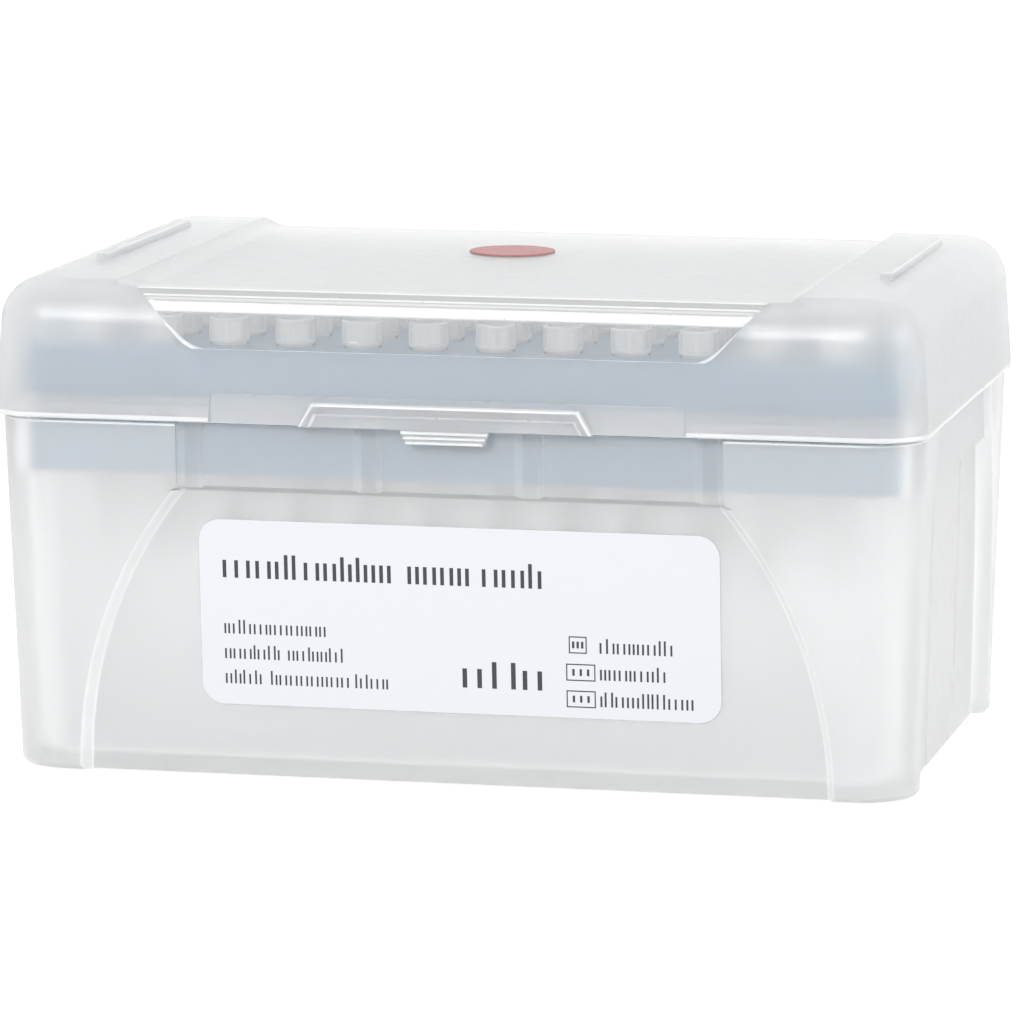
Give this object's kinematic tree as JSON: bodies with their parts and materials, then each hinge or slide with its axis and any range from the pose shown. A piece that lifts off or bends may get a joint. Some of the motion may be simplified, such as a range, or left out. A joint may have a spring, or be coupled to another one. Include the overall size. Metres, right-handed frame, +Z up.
{
  "type": "box of pipette tips",
  "caption": "Hinged frosted plastic box with a clear window, holding a grid of filter pipette tips in a blue tray.",
  "frame": {"origin": "middle of the base's flat underside", "axes": "+X to the right along the box's long side, -Y to the front with the latch and the label, +Z up"},
  "size_m": [0.125, 0.0891, 0.0667],
  "materials": {
    "frosted_shell": "frosted translucent polypropylene with a clear polished window",
    "tray": "satin moulded polypropylene",
    "tip": "clear polished polypropylene",
    "filter": "sintered porous plastic",
    "label": "smooth coated white paper",
    "dot": "satin printed film"
  },
  "bodies": {
    "base": {"base": "frosted_shell", "tip_tray": "tray", "front_label": "label", "tip_A01": "tip", "tip_A02": "tip", "tip_A03": "tip", "tip_A04": "tip", "tip_A05": "tip", "tip_A06": "tip", "tip_A07": "tip", "tip_A08": "tip", "tip_A09": "tip", "tip_A10": "tip", "tip_A11": "tip", "tip_A12": "tip", "tip_row_B": "tip", "tip_row_C": "tip", "tip_row_D": "tip", "tip_row_E": "tip", "tip_row_F": "tip", "tip_row_G": "tip", "tip_row_H": "tip", "filter_A01": "filter", "filter_A02": "filter", "filter_A03": "filter", "filter_A04": "filter", "filter_A05": "filter", "filter_A06": "filter", "filter_A07": "filter", "filter_A08": "filter", "filter_A09": "filter", "filter_A10": "filter", "filter_A11": "filter", "filter_A12": "filter"},
    "lid": {"lid": "frosted_shell", "indicator_dot": "dot"}
  },
  "joints": [
    {"name": "lid_hinge", "type": "hinge", "parent": "base", "child": "lid", "pos_m": [0, 0.0436, 0.0452], "axis": [-1, 0, 0], "range_deg": [0, 110]}
  ]
}
